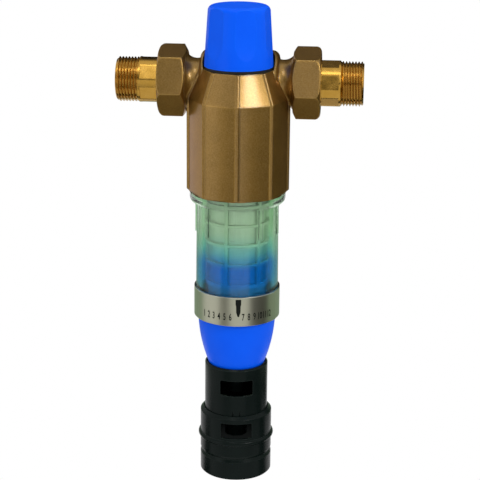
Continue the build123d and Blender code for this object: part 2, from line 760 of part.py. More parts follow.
# Union on each side: gasket, tailpiece with spanner flats and pipe thread, and nut
for side, name, tail_turn in ((-1, "inlet", inlet_tail_turn), (1, "outlet", outlet_tail_turn)):
    collar_x = neck_end_x + gasket_thickness
    shank_x = collar_x + tail_collar_thickness
    nut_x = shank_x + stop_gap + nut_back_wall - nut_length
    nut_end_x = nut_x + nut_length
    flats_x = nut_end_x + tail_shank_gap
    thread_x = flats_x + tail_flats_length + tail_neck_length
    tail_end_x = thread_x + pipe_thread_length

    with BuildPart() as gasket:
        turned(
            (side * neck_end_x, pipe_bore),
            (side * neck_end_x, tail_collar_radius),
            (side * collar_x, tail_collar_radius),
            (side * collar_x, pipe_bore),
            plane=pipe_plane,
            axis=pipe_axis,
        )
    gasket.part.label = f"{name}_gasket"
    export_step(gasket.part, f"parts/{name}_gasket.step")

    with BuildPart() as tailpiece:
        turned(
            (side * collar_x, pipe_bore),
            (side * collar_x, tail_collar_radius),
            (side * shank_x, tail_collar_radius),
            (side * shank_x, tail_radius),
            (side * thread_x, tail_radius),
            (side * thread_x, pipe_thread_radius),
            (side * (tail_end_x - pipe_thread_chamfer), pipe_thread_radius),
            (side * tail_end_x, pipe_thread_radius - pipe_thread_chamfer),
            (side * tail_end_x, pipe_bore),
            plane=pipe_plane,
            axis=pipe_axis,
        )
        # Six spanner flats milled into the round shank
        flats_plane = Plane(origin=(side * flats_x, port_y, port_z), x_dir=(0, 1, 0), z_dir=(side, 0, 0))
        with BuildSketch(flats_plane):
            Circle(tail_radius + overrun)
            RegularPolygon(
                tail_flats / 2, 6, major_radius=False, rotation=30 - side * tail_turn, mode=Mode.SUBTRACT
            )
        extrude(amount=tail_flats_length, mode=Mode.SUBTRACT)
    tailpiece.part.label = f"{name}_tailpiece"
    export_step(tailpiece.part, f"parts/{name}_tailpiece.step")

    nut_plane = Plane(origin=(side * nut_x, port_y, port_z), x_dir=(0, 1, 0), z_dir=(side, 0, 0))
    corner = nut_flats / 2 / cos(radians(30))
    with BuildPart() as union_nut:
        with BuildSketch(nut_plane):
            RegularPolygon(nut_flats / 2, 6, major_radius=False, rotation=30 - side * nut_turn)
        extrude(amount=nut_length)
        # Turned chamfers: steep towards the head, rounded towards the pipe
        with BuildSketch(pipe_plane):
            with BuildLine():
                Polyline(
                    (side * nut_end_x, nut_flats / 2 - nut_outer_drop),
                    (side * nut_end_x, 0),
                    (side * nut_x, 0),
                    (side * nut_x, nut_flats / 2 - nut_inner_drop),
                    (side * (nut_x + nut_inner_chamfer), corner),
                    (side * (nut_end_x - nut_outer_chamfer), corner),
                )
                ThreePointArc(
                    (side * (nut_end_x - nut_outer_chamfer), corner),
                    (side * (nut_end_x - nut_outer_chamfer * nut_outer_bow_share), corner - nut_outer_bow),
                    (side * nut_end_x, nut_flats / 2 - nut_outer_drop),
                )
            make_face()
        revolve(axis=pipe_axis, mode=Mode.INTERSECT)
        turned(
            (side * nut_x, 0),
            (side * nut_x, neck_thread_radius + running_fit),
            (side * (nut_end_x - nut_back_wall), neck_thread_radius + running_fit),
            (side * (nut_end_x - nut_back_wall), tail_radius + running_fit),
            (side * nut_end_x, tail_radius + running_fit),
            (side * nut_end_x, 0),
            plane=pipe_plane,
            axis=pipe_axis,
            mode=Mode.SUBTRACT,
        )
    union_nut.part.label = f"{name}_union_nut"
    export_step(union_nut.part, f"parts/{name}_union_nut.step")

# Screen frame: skirt over the valve flange, plate, cage and the top that fits the bell
skirt_inner = valve_flange_radius + seat_fit
with BuildPart() as screen_frame:
    tube(valve_flange_z + screen_skirt_gap, screen_plate_z, skirt_inner + screen_skirt_wall, skirt_inner)
    tube(screen_plate_z, mesh_z, screen_radius, suction_tube_radius + running_fit)
    with BuildSketch(Plane.XY.offset(mesh_z)):
        rib_middle = screen_radius - screen_rib_thickness / 2
        with PolarLocations(rib_middle, screen_rib_count, start_angle=screen_rib_first_angle):
            Rectangle(screen_rib_thickness, screen_rib_width)
    extrude(amount=mesh_top - mesh_z)
    hoop_step = (mesh_top - mesh_z) / (screen_hoop_count + 1)
    for index in range(screen_hoop_count):
        hoop_z = mesh_z + (index + 1) * hoop_step
        tube(hoop_z - screen_hoop_height / 2, hoop_z + screen_hoop_height / 2, screen_radius, mesh_outer)
    tube(mesh_top, screen_top, screen_head_radius, bell_radius + seat_fit)
screen_frame.part.label = "screen_frame"
export_step(screen_frame.part, "parts/screen_frame.step")

with BuildPart() as screen_mesh:
    tube(mesh_z, mesh_top, mesh_outer, mesh_inner)
screen_mesh.part.label = "screen_mesh"
export_step(screen_mesh.part, "parts/screen_mesh.step")

with BuildPart() as screen_seal:
    tube(screen_top, shelf_z, screen_head_radius, bell_radius + seat_fit)
screen_seal.part.label = "screen_seal"
export_step(screen_seal.part, "parts/screen_seal.step")

# Suction tube: its arms stand in a rising spiral and sweep the inside of the mesh
suction_bottom = screen_plate_z - suction_foot_drop
suction_top = mesh_top - suction_top_drop
arm_step = (suction_top - mesh_z) / (suction_arm_count + suction_last_arm)
arm_turn = 360 / suction_arm_count
arm_planes = [
    Plane(
        origin=(0, 0, mesh_z + (index + suction_first_arm) * arm_step),
        z_dir=(cos(radians(index * arm_turn)), sin(radians(index * arm_turn)), 0),
    )
    for index in range(suction_arm_count)
]
with BuildPart() as suction_tube:
    tube(suction_bottom, suction_top, suction_tube_radius)
    tube(suction_top, suction_top + suction_socket_height, suction_socket_radius)
    for arm_plane in arm_planes:
        with BuildSketch(arm_plane):
            Circle(suction_arm_radius)
        extrude(amount=mesh_inner - suction_arm_gap)
    tube(suction_bottom, suction_top - suction_socket_floor, suction_tube_bore, mode=Mode.SUBTRACT)
    tube(suction_top, suction_top + suction_socket_height, spindle_radius, mode=Mode.SUBTRACT)
    for arm_plane in arm_planes:
        with BuildSketch(arm_plane):
            Circle(suction_arm_bore)
        extrude(amount=mesh_inner, mode=Mode.SUBTRACT)
suction_tube.part.label = "suction_tube"
export_step(suction_tube.part, "parts/suction_tube.step")

# Cleaning spindle, held in the gland between its shoulder and the clip
clip_z = gland_head_top + stop_gap
spindle_top = knob_z + spindle_in_knob
with BuildPart() as cleaning_spindle:
    tube(suction_top, spindle_top, spindle_radius)
    tube(
        gland_bottom - stop_gap - spindle_shoulder_height,
        gland_bottom - stop_gap,
        spindle_shoulder_radius,
        spindle_radius / 2,
    )
cleaning_spindle.part.label = "cleaning_spindle"
export_step(cleaning_spindle.part, "parts/cleaning_spindle.step")

with BuildPart() as spindle_clip:
    tube(clip_z, clip_z + clip_thickness, clip_radius, spindle_radius)
    with BuildSketch(Plane.XY.offset(clip_z)):
        with Locations((clip_radius / 2, 0)):
            Rectangle(clip_radius, spindle_radius)
    extrude(amount=clip_thickness, mode=Mode.SUBTRACT)
spindle_clip.part.label = "spindle_clip"
export_step(spindle_clip.part, "parts/spindle_clip.step")

# Gland: hexagon on the head, threaded plug with the spindle's seal in its lower end
spindle_seal_z = gland_bottom + spindle_seal_above_gland_foot
spindle_seal_radius = spindle_radius + spindle_seal_width
with BuildPart() as head_gland:
    tube(gland_bottom, head_top, gland_radius)
    hexagon(head_top, gland_head_top, gland_flats)
    tube(gland_bottom, gland_head_top, spindle_radius + running_fit, mode=Mode.SUBTRACT)
    tube(
        spindle_seal_z, spindle_seal_z + spindle_seal_height, spindle_seal_radius, mode=Mode.SUBTRACT
    )
head_gland.part.label = "head_gland"
export_step(head_gland.part, "parts/head_gland.step")

with BuildPart() as spindle_seal:
    tube(
        spindle_seal_z,
        spindle_seal_z + spindle_seal_height,
        spindle_seal_radius,
        spindle_radius + running_fit,
    )
spindle_seal.part.label = "spindle_seal"
export_step(spindle_seal.part, "parts/spindle_seal.step")

with BuildPart() as gland_o_ring:
    tube(head_top - gland_ring_depth, head_top, gland_radius + o_ring_thickness, gland_radius)
gland_o_ring.part.label = "gland_o_ring"
export_step(gland_o_ring.part, "parts/gland_o_ring.step")

with BuildPart() as knob_seat_ring:
    tube(head_top, head_top + knob_ring_thickness, knob_ring_radius, knob_ring_radius - knob_ring_width)
knob_seat_ring.part.label = "knob_seat_ring"
export_step(knob_seat_ring.part, "parts/knob_seat_ring.step")

# Knob: tapered cap with six grip flats that run out above its foot, hollow, with a hub
flat_foot_z = knob_z + knob_flat_foot
flat_start_z = flat_foot_z + knob_flat_runout
knob_taper = (knob_base_radius - knob_top_radius) / knob_height


def knob_radius_at(z):
    """Outer radius of the knob's cone at a height."""
    return knob_base_radius - (z - knob_z) * knob_taper


with BuildPart() as knob_flat:
    with BuildSketch(Plane.XZ):
        with BuildLine():
            Line(
                (knob_radius_at(knob_top + overrun) - knob_flat_depth, knob_top + overrun),
                (knob_radius_at(flat_start_z) - knob_flat_depth, flat_start_z),
            )
            run_out_middle = (flat_foot_z + flat_start_z) / 2
            ThreePointArc(
                (knob_radius_at(flat_start_z) - knob_flat_depth, flat_start_z),
                (knob_radius_at(run_out_middle) - knob_flat_depth * knob_runout_share, run_out_middle),
                (knob_radius_at(flat_foot_z) + knob_flat_end_gap, flat_foot_z),
            )
            Polyline(
                (knob_radius_at(flat_foot_z) + knob_flat_end_gap, flat_foot_z),
                (knob_base_radius + overrun, flat_foot_z),
                (knob_base_radius + overrun, knob_top + overrun),
                (knob_radius_at(knob_top + overrun) - knob_flat_depth, knob_top + overrun),
            )
        make_face()
    extrude(amount=knob_base_radius, both=True)

edge_rise = knob_rounding * sqrt(0.5)
with BuildPart() as top_knob:
    with BuildSketch(Plane.XZ):
        with BuildLine():
            Polyline(
                (knob_top_radius, knob_top - knob_rounding),
                (knob_base_radius, knob_z),
                (0, knob_z),
                (0, knob_top),
                (knob_top_radius - knob_rounding, knob_top),
            )
            ThreePointArc(
                (knob_top_radius - knob_rounding, knob_top),
                (knob_top_radius - knob_rounding + edge_rise, knob_top - knob_rounding + edge_rise),
                (knob_top_radius, knob_top - knob_rounding),
            )
        make_face()
    revolve(axis=Axis.Z)
    for index in range(knob_flat_count):
        add(
            knob_flat.part,
            rotation=(0, 0, knob_flat_first_angle + index * 360 / knob_flat_count),
            mode=Mode.SUBTRACT,
        )
    turned(
        (0, knob_z),
        (knob_base_radius - knob_wall, knob_z),
        (knob_top_radius - knob_wall - knob_flat_depth, knob_top - knob_wall),
        (0, knob_top - knob_wall),
        mode=Mode.SUBTRACT,
    )
    tube(knob_z + knob_hub_above_base, knob_top - knob_wall / 2, knob_hub_radius)
    with BuildSketch(Plane.XY.offset(knob_z + knob_hub_above_base)):
        with PolarLocations(knob_top_radius / 2, knob_web_count):
            Rectangle(knob_top_radius - knob_wall - knob_flat_depth + 2 * overrun, knob_web_thickness)
        Circle(knob_top_radius - knob_flat_depth - knob_wall / 2, mode=Mode.INTERSECT)
    extrude(amount=knob_height - knob_hub_above_base - knob_wall / 2)
    tube(knob_z, spindle_top, spindle_radius, mode=Mode.SUBTRACT)
top_knob.part.label = "top_knob"
export_step(top_knob.part, "parts/top_knob.step")
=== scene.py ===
# %% [markdown]
# # A self cleaning water filter
#
# The CAD model gives every piece its place and size. This lesson dresses it: a camera like
# the photograph's, soft studio light, a finish for each piece, and the small forms that the
# CAD leaves out, which are the pipe threads and the printed month scale.

# %% Load the CAD model as a fixed frame
import json
from math import cos, pi, radians, sin

import bmesh
import bpy
from mathutils import Matrix, Vector


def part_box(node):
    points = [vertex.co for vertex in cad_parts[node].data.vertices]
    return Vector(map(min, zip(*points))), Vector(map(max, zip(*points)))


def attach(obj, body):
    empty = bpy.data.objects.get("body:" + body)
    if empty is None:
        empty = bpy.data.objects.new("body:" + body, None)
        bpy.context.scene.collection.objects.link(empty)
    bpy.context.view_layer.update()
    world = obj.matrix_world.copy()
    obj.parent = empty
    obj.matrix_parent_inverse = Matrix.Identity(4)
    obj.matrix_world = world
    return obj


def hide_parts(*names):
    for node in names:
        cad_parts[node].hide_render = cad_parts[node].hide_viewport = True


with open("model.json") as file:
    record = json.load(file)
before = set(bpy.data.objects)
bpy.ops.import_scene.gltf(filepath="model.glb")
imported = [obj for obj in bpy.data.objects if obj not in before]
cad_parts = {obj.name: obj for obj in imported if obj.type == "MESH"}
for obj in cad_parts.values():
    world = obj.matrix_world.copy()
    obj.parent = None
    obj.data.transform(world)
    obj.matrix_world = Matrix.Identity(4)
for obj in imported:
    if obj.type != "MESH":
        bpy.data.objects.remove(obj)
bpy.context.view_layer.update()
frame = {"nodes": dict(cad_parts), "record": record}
nodes = frame["nodes"]
print("CAD nodes:", len(nodes))


# %% [markdown]
# ## The camera
#
# The photograph looks a little down on the filter from about a metre away, with a long lens,
# so upright edges stay almost parallel. The camera stands a few degrees to the outlet side.
# It is placed from three facts: the point it looks at, its distance, and its two angles.
# A small roll puts the filter's axis at the same slight slant as in the photograph.

# %% Place the camera
def into_scene(name, data):
    """New object that shows a mesh, a lamp or a camera, put into the scene."""
    thing = bpy.data.objects.new(name, data)
    bpy.context.scene.collection.objects.link(thing)
    return thing


camera_yaw = radians(4.5)
camera_pitch = radians(16.8)
camera_roll = radians(0.5)
camera_distance = 1.136
look_at = Vector((0.0020, 0.0, 0.1865))

camera_data = bpy.data.cameras.new("camera")
camera_data.sensor_width = 36.0
camera_data.lens = 112.5
camera_data.clip_start = 0.05
camera = into_scene("camera", camera_data)
towards = Vector((
    sin(camera_yaw) * cos(camera_pitch),
    -cos(camera_yaw) * cos(camera_pitch),
    sin(camera_pitch),
))
camera.location = look_at + towards * camera_distance
aim = (-towards).to_track_quat("-Z", "Y")
camera.rotation_euler = (aim.to_matrix() @ Matrix.Rotation(camera_roll, 3, "Z")).to_euler()
bpy.context.scene.camera = camera
bpy.context.scene.view_settings.view_transform = "Standard"
print("camera at", [round(value, 3) for value in camera.location])


# %% [markdown]
# ## Colours and nodes
#
# Colours are written as the hex values that a paint program shows, and the shader wants
# linear light, so one function converts them. Another gives a node its inputs, and the last
# adds a node with its settings. A node that is given as an input stands for its first output
# in use, so each material reads as a short recipe: what is made, and what goes into it.

# %% Turn a hex colour to linear light
def linear(hex_colour):
    """Linear RGBA from an sRGB hex colour such as "8A6A3A"."""
    channels = [int(hex_colour[i:i + 2], 16) / 255 for i in (0, 2, 4)]
    return [c / 12.92 if c <= 0.04045 else ((c + 0.055) / 1.055) ** 2.4 for c in channels] + [1.0]


print("mid grey is", round(linear("808080")[0], 3), "in linear light")


# %% Feed a node and add a node
def feed(node, inputs):
    """Give inputs, found by place or name, a number, a hex colour, a socket or another node."""
    for key, value in inputs.items():
        if isinstance(key, int):
            socket = node.inputs[key]
        else:
            socket = next(s for s in node.inputs if s.enabled and s.name == key)
        if isinstance(value, bpy.types.Node):
            value = next(output for output in value.outputs if output.enabled)
        if isinstance(value, bpy.types.NodeSocket):
            node.id_data.links.new(value, socket)
        else:
            socket.default_value = linear(value) if isinstance(value, str) else value


def add(tree, kind, inputs=None, **settings):
    """Add a node of a kind to a tree, with its settings and its inputs."""
    node = tree.nodes.new(kind)
    for name, value in settings.items():
        setattr(node, name, value)
    feed(node, inputs or {})
    return node


# %% [markdown]
# ## Floor and white background
#
# The photograph is a cut-out on white. The floor lies well below the filter, because the
# filter hangs on its pipe and stands on nothing. Camera rays, mirror rays and rays through
# glass see plain white there, while soft light and shadows stay as on pale paper.

# %% Find the rays that see white
def bare_tree(owner):
    """Node tree of a new material or world, emptied."""
    owner.use_nodes = True
    owner.node_tree.nodes.clear()
    return owner.node_tree


def seen_directly(tree):
    """1 for the rays that look at a surface directly, in a mirror or through glass."""
    path = add(tree, "ShaderNodeLightPath").outputs
    sharp = add(tree, "ShaderNodeMath", {0: path["Is Camera Ray"], 1: path["Is Glossy Ray"]},
                operation="MAXIMUM")
    return add(tree, "ShaderNodeMath", {0: sharp, 1: path["Is Transmission Ray"]},
               operation="MAXIMUM")


# %% Lay the floor
floor_z = -0.12
floor_half = 6.0

paper = bpy.data.materials.new("white_paper_floor")
tree = bare_tree(paper)
matt = add(tree, "ShaderNodeBsdfDiffuse", {"Color": "F4F4F2"})
white = add(tree, "ShaderNodeEmission", {"Color": "FFFFFF", "Strength": 1.0})
mixed = add(tree, "ShaderNodeMixShader", {0: seen_directly(tree), 1: matt, 2: white})
add(tree, "ShaderNodeOutputMaterial", {"Surface": mixed})

floor_mesh = bpy.data.meshes.new("paper_floor")
signs = ((-1, -1), (1, -1), (1, 1), (-1, 1))
floor_mesh.from_pydata([(x * floor_half, y * floor_half, floor_z) for x, y in signs], [],
                       [(0, 1, 2, 3)])
floor_mesh.materials.append(paper)
paper_floor = into_scene("paper_floor", floor_mesh)
print("floor", round(-floor_z * 1000), "mm below the filter's foot")

# %% Fill the room with soft light
room_light = 0.58

world = bpy.data.worlds.new("studio")
tree = bare_tree(world)
room = add(tree, "ShaderNodeBackground", {"Color": "FFFFFF", "Strength": room_light})
white = add(tree, "ShaderNodeBackground", {"Color": "FFFFFF", "Strength": 1.0})
mixed = add(tree, "ShaderNodeMixShader", {0: seen_directly(tree), 1: room, 2: white})
add(tree, "ShaderNodeOutputWorld", {"Surface": mixed})
bpy.context.scene.world = world
print("room light", room_light)


# %% [markdown]
# ## Lamps
#
# The bright band on the head's right shoulder says that the main light stands high in front
# and to the right. A wide, weaker one on the left keeps that side warm and readable. A third,
# high in front, brightens the sloping facets of the shoulder. The last is a wide soft light
# overhead. It shows in no reflection, so the tops of the tails stay dark as they are in the
# photograph. All are square and large, so that edges of light stay soft.

# %% Place the lamps
lamps_aim = Vector((0.0, 0.0, 0.2))


def softbox(name, place, side, watts, in_reflections=True):
    """Square area lamp that faces the middle of the filter."""
    data = bpy.data.lights.new(name, "AREA")
    data.shape = "SQUARE"
    data.size = side
    data.energy = watts
    lamp = into_scene(name, data)
    lamp.location = place
    lamp.rotation_euler = (lamps_aim - Vector(place)).to_track_quat("-Z", "Y").to_euler()
    lamp.visible_glossy = in_reflections
    print(name, side, "m wide,", watts, "W")


softbox("key_right", (1.10, -1.10, 1.20), 0.42, 9.5)
softbox("fill_left", (-1.2, -1.1, 0.50), 0.9, 2.5)
softbox("top_front", (-0.15, -0.85, 1.85), 0.45, 3.2)
softbox("top_soft", (0.0, 0.3, 1.8), 1.2, 6.0, in_reflections=False)


# %% [markdown]
# ## Cards round the set
#
# Metal in an all white room looks flat, because every side of it mirrors the same white. A
# product photographer lays and stands dark cards round the metal, so that it also has dark
# shapes to mirror. The photograph shows them: the head's right side, every underside and the
# tops of the tails are dark. The camera sees no card, and no card throws a shadow or takes
# light from the filter. They show in reflections, and are no part of the filter.

# %% Make a card
def card_cloth(name, shade):
    """Even colour that takes no light, so that a card looks the same from every side."""
    cloth = bpy.data.materials.new(name)
    tree = bare_tree(cloth)
    even = add(tree, "ShaderNodeEmission", {"Color": shade, "Strength": 1.0})
    add(tree, "ShaderNodeOutputMaterial", {"Surface": even})
    return cloth


def card(name, cloth, corners, faces=None, in_reflections=True, through_glass=False):
    """Card that shows in reflections, through clear plastic, or in both."""
    mesh = bpy.data.meshes.new(name)
    mesh.from_pydata(corners, [], faces or [tuple(range(len(corners)))])
    mesh.materials.append(cloth)
    panel = into_scene(name, mesh)
    panel.visible_camera = False
    panel.visible_diffuse = False
    panel.visible_shadow = False
    panel.visible_glossy = in_reflections
    panel.visible_transmission = through_glass
    print(name, "has", len(mesh.polygons), "faces")


black_flock = card_cloth("black_flock_card", "24231F")
grey_flock = card_cloth("grey_flock_card", "6C6A64")

# %% Lay cards on the floor
card_z = floor_z + 0.005


def floor_fan(degrees, near, far):
    """Corners of a card like an open fan on the floor, between two distances from the axis."""
    directions = [(cos(radians(d)), sin(radians(d))) for d in degrees]
    return ([(far * x, far * y, card_z) for x, y in directions]
            + [(near * x, near * y, card_z) for x, y in reversed(directions)])


under_half, under_front, under_back, under_z = 0.4, -0.03, 0.12, floor_z + 0.006
card("card_floor_right", black_flock, floor_fan((-52, -30, 0, 30, 60), 0.40, 3.2))
card("card_floor_left", grey_flock, floor_fan((-131, -118, -105), 0.45, 3.2))
card("card_under", black_flock, [
    (-under_half, under_front, under_z), (under_half, under_front, under_z),
    (under_half, under_back, under_z), (-under_half, under_back, under_z)])

# %% Stand cards behind the filter and behind the camera
for name, cloth, left, right, y, low, high in (
        ("card_back", black_flock, -0.8, 1.9, 1.5, -0.1, 1.1),
        ("card_back_high", grey_flock, -1.3, 1.9, 1.5, 1.1, 3.2),
        ("card_front_left", black_flock, -1.3, -0.25, -1.5, 0.55, 1.35),
        ("card_front_right", black_flock, -0.1, 1.1, -1.5, 0.45, 0.75)):
    card(name, cloth, [(left, y, low), (right, y, low), (right, y, high), (left, y, high)])

# %% [markdown]
# A clear cup bends its surroundings into its own sides, and in a white room these would be
# white. Two pale green cards are bent in half circles behind the cup, so that its sides keep
# the green of the plastic. The tall one shows through the plastic alone. The low one shows
# in reflections too, because light that comes to the cup's edge is also mirrored inside it.
# It stays low, so that the brass above doesn't mirror it.

# %% Bend cards behind the cup
bend = [radians(degrees) for degrees in range(0, 181, 20)]
strips = [(i, i + 1, len(bend) + i + 1, len(bend) + i) for i in range(len(bend) - 1)]
bent_card_foot = -0.02
for name, shade, reach, top, in_reflections in (
        ("card_behind_cup", "90B292", 0.30, 0.27, False),
        ("card_behind_foot", "A2B8A0", 0.29, 0.125, True)):
    low_edge = [(reach * cos(angle), reach * sin(angle), bent_card_foot) for angle in bend]
    high_edge = [(x, y, top) for x, y, _ in low_edge]
    card(name, card_cloth(f"{name}_paper", shade), low_edge + high_edge, strips,
         in_reflections=in_reflections, through_glass=True)


# %% [markdown]
# ## Finishes
#
# Each finish starts from what the real surface is. All share one start: a material with the
# standard surface shader, and the place of each point in metres. A noise of scale 1000 / 14
# then has lumps of about 14 mm, and a bump's distance is its real depth.

# %% Start a finish
def finish_called(name):
    """New material, its shader, its node tree, and the place of each point in metres."""
    material = bpy.data.materials.new(name)
    material.use_nodes = True
    tree = material.node_tree
    place = add(tree, "ShaderNodeTexCoord").outputs["Object"]
    return material, tree.nodes["Principled BSDF"], tree, place


# %% [markdown]
# Edges wear first, and no real edge is perfectly sharp. The bevel node gives the normal that
# a small radius would give. Where that differs from the flat normal, there is an edge, and
# the difference says how much wear to show there.

# %% Find the worn edges
def worn_edges(tree, reach_mm):
    """Share of wear near sharp edges, and the slightly rounded normal that goes with it."""
    rounded = add(tree, "ShaderNodeBevel", {"Radius": reach_mm / 1000}, samples=6)
    flat = add(tree, "ShaderNodeNewGeometry").outputs["Normal"]
    # The dot product is 0.995 where the two lie 6 degrees apart, and 0.93 where they lie 22
    alike = add(tree, "ShaderNodeVectorMath", {0: rounded, 1: flat}, operation="DOT_PRODUCT")
    wear = add(tree, "ShaderNodeMapRange", {"Value": alike, "From Min": 0.995, "From Max": 0.93})
    return wear, rounded


# %% [markdown]
# Cast brass comes out of a sand mould and is then shot blasted. The sand leaves a fine
# orange peel of about half a millimetre, and the skin varies slowly between gold and brown,
# with brighter specks. Handling polishes the edges of the ribs and nuts, so they are lighter
# and smoother. A thin coat stands for the film on old brass. It gives a soft second gloss
# over the rough metal, and the tinted edge keeps facets seen from the side from going white.

# %% Cast brass
cast_brass, shader, tree, place = finish_called("cast_blasted_brass")
wear, _ = worn_edges(tree, 0.6)
patches = add(tree, "ShaderNodeTexNoise", {"Vector": place, "Scale": 1000 / 14, "Detail": 2.0})
specks = add(tree, "ShaderNodeTexNoise", {"Vector": place, "Scale": 1000 / 0.9, "Detail": 3.0})
sand = add(tree, "ShaderNodeTexNoise", {"Vector": place, "Scale": 1000 / 0.55, "Detail": 3.0})

skin = add(tree, "ShaderNodeMix", {"Factor": patches, "A": "72551F", "B": "8E6C30"},
           data_type="RGBA")
bright_share = add(tree, "ShaderNodeMapRange", {
    "Value": specks, "From Min": 0.35, "From Max": 0.70, "To Max": 0.55})
speckled = add(tree, "ShaderNodeMix", {"Factor": bright_share, "A": skin, "B": "A08048"},
               data_type="RGBA")
handled = add(tree, "ShaderNodeMix", {"Factor": wear, "A": speckled, "B": "B89658"},
              data_type="RGBA")
blasted = add(tree, "ShaderNodeMapRange", {
    "Value": sand, "From Min": 0.3, "From Max": 0.7, "To Min": 0.28, "To Max": 0.42})
polished = add(tree, "ShaderNodeMapRange", {"Value": wear, "To Min": blasted, "To Max": 0.28})
cast_corners = add(tree, "ShaderNodeBevel", {"Radius": 0.002}, samples=6)
orange_peel = add(tree, "ShaderNodeBump", {
    "Height": sand, "Distance": 0.00004, "Strength": 0.5, "Normal": cast_corners})
feed(shader, {
    "Base Color": handled, "Metallic": 0.85, "Roughness": polished, "Normal": orange_peel,
    "Specular Tint": "D0A868", "Coat Weight": 0.5, "Coat Roughness": 0.18})
print(cast_brass.name, "has", len(tree.nodes), "nodes")

# %% [markdown]
# The tails are turned on a lathe, so their brass is cleaner and brighter, with fine rings
# round the pipe's axis. Real tool marks are about a tenth of a millimetre apart. They are
# drawn at 0.4 mm, because finer ones would not show. A wave of scale 2 pi / 20 repeats once
# in a metre, so that number is divided by the pitch of the marks.

# %% Turned brass
turned_brass, shader, tree, place = finish_called("lathe_turned_brass")
mark_pitch = 0.0004
stain = add(tree, "ShaderNodeTexNoise", {"Vector": place, "Scale": 1000 / 6, "Detail": 2.0})
marks = add(tree, "ShaderNodeTexWave", {
    "Vector": place, "Scale": 2 * pi / 20 / mark_pitch, "Distortion": 0.6}, bands_direction="X")
yellow = add(tree, "ShaderNodeMix", {"Factor": stain, "A": "A67E30", "B": "C49A4A"},
             data_type="RGBA")
shine = add(tree, "ShaderNodeMapRange", {
    "Value": stain, "From Min": 0.3, "From Max": 0.7, "To Min": 0.20, "To Max": 0.28})
rings = add(tree, "ShaderNodeBump", {
    "Height": marks.outputs["Fac"], "Distance": 0.000002, "Strength": 0.2})
feed(shader, {"Base Color": yellow, "Metallic": 1.0, "Roughness": shine, "Normal": rings})
print(turned_brass.name, "has", len(tree.nodes), "nodes")

# %% [markdown]
# The knob and the handwheel are moulded ABS in a strong blue. Moulded ABS is satin: its
# gloss is soft, and the grain of a spark-eroded mould breaks it up. The real grain is finer
# than a tenth of a millimetre, so it is drawn at 0.35 mm to show at all. Grip leaves the
# edges of the flats a little lighter.

# %% Blue ABS
blue_abs, shader, tree, place = finish_called("blue_moulded_abs")
wear, rounded = worn_edges(tree, 0.8)
cloud = add(tree, "ShaderNodeTexNoise", {"Vector": place, "Scale": 1000 / 22, "Detail": 2.0})
eroded = add(tree, "ShaderNodeTexNoise", {"Vector": place, "Scale": 1000 / 0.35, "Detail": 2.0})
blue = add(tree, "ShaderNodeMix", {"Factor": cloud, "A": "0056F4", "B": "0060FF"},
           data_type="RGBA")
gripped = add(tree, "ShaderNodeMix", {"Factor": wear, "A": blue, "B": "0C72FF"},
              data_type="RGBA")
satin = add(tree, "ShaderNodeMapRange", {
    "Value": cloud, "From Min": 0.3, "From Max": 0.7, "To Min": 0.34, "To Max": 0.44})
mould_grain = add(tree, "ShaderNodeBump", {
    "Height": eroded, "Distance": 0.000015, "Strength": 0.4, "Normal": rounded})
feed(shader, {"Base Color": gripped, "Roughness": satin, "Normal": mould_grain, "IOR": 1.54,
              "Specular IOR Level": 0.08})
print(blue_abs.name, "has", len(tree.nodes), "nodes")

# %% [markdown]
# The drain pieces are moulded polypropylene, filled with soot, which gives a soft black with
# a faint green cast. It is smoother than the ABS, so it shines along edges and where a lamp
# stands opposite. Its mould grain is drawn at half a millimetre, coarser than the real one.

# %% Black polypropylene
black_pp, shader, tree, place = finish_called("black_moulded_polypropylene")
wear, rounded = worn_edges(tree, 0.7)
cloud = add(tree, "ShaderNodeTexNoise", {"Vector": place, "Scale": 1000 / 16, "Detail": 2.0})
eroded = add(tree, "ShaderNodeTexNoise", {"Vector": place, "Scale": 1000 / 0.5, "Detail": 2.0})
black = add(tree, "ShaderNodeMix", {"Factor": cloud, "A": "09110F", "B": "0E1715"},
            data_type="RGBA")
scuffed = add(tree, "ShaderNodeMix", {"Factor": wear, "A": black, "B": "222A28"},
              data_type="RGBA")
satin = add(tree, "ShaderNodeMapRange", {
    "Value": cloud, "From Min": 0.3, "From Max": 0.7, "To Min": 0.22, "To Max": 0.30})
mould_grain = add(tree, "ShaderNodeBump", {
    "Height": eroded, "Distance": 0.000012, "Strength": 0.35, "Normal": rounded})
feed(shader, {"Base Color": scuffed, "Roughness": satin, "Normal": mould_grain, "IOR": 1.49,
              "Specular IOR Level": 0.08})
print(black_pp.name, "has", len(tree.nodes), "nodes")

# %% [markdown]
# The cup is moulded in a clear styrene plastic with a green cast. Light goes through it, and
# a faint haze softens the screen inside. Its lower part is tinted blue in a soft fade. The
# fade is mixed by height in three steps, from the foot up, and a slow ripple of up to 10 mm
# keeps it from being level.

# %% Clear cup
clear_cup, shader, tree, place = finish_called("clear_green_moulded_styrene")
height = add(tree, "ShaderNodeSeparateXYZ", {"Vector": place}).outputs["Z"]
ripple = add(tree, "ShaderNodeTexNoise", {"Vector": place, "Scale": 1000 / 30, "Detail": 2.0})
lift = add(tree, "ShaderNodeMath", {0: ripple, 1: 0.010}, operation="MULTIPLY")
rippled_height = add(tree, "ShaderNodeMath", {0: height, 1: lift}, operation="SUBTRACT")
tint = "74CCFF"
for low, high, colour in ((0.148, 0.156, "44B4FF"), (0.166, 0.178, "B8F4F0"),
                          (0.178, 0.192, "E8FEE8")):
    share = add(tree, "ShaderNodeMapRange", {
        "Value": rippled_height, "From Min": low, "From Max": high})
    tint = add(tree, "ShaderNodeMix", {"Factor": share, "A": tint, "B": colour},
               data_type="RGBA")
feed(shader, {"Base Color": tint, "Transmission Weight": 1.0, "Roughness": 0.16, "IOR": 1.45,
              "Specular IOR Level": 0.2})
print(clear_cup.name, "has", len(tree.nodes), "nodes")

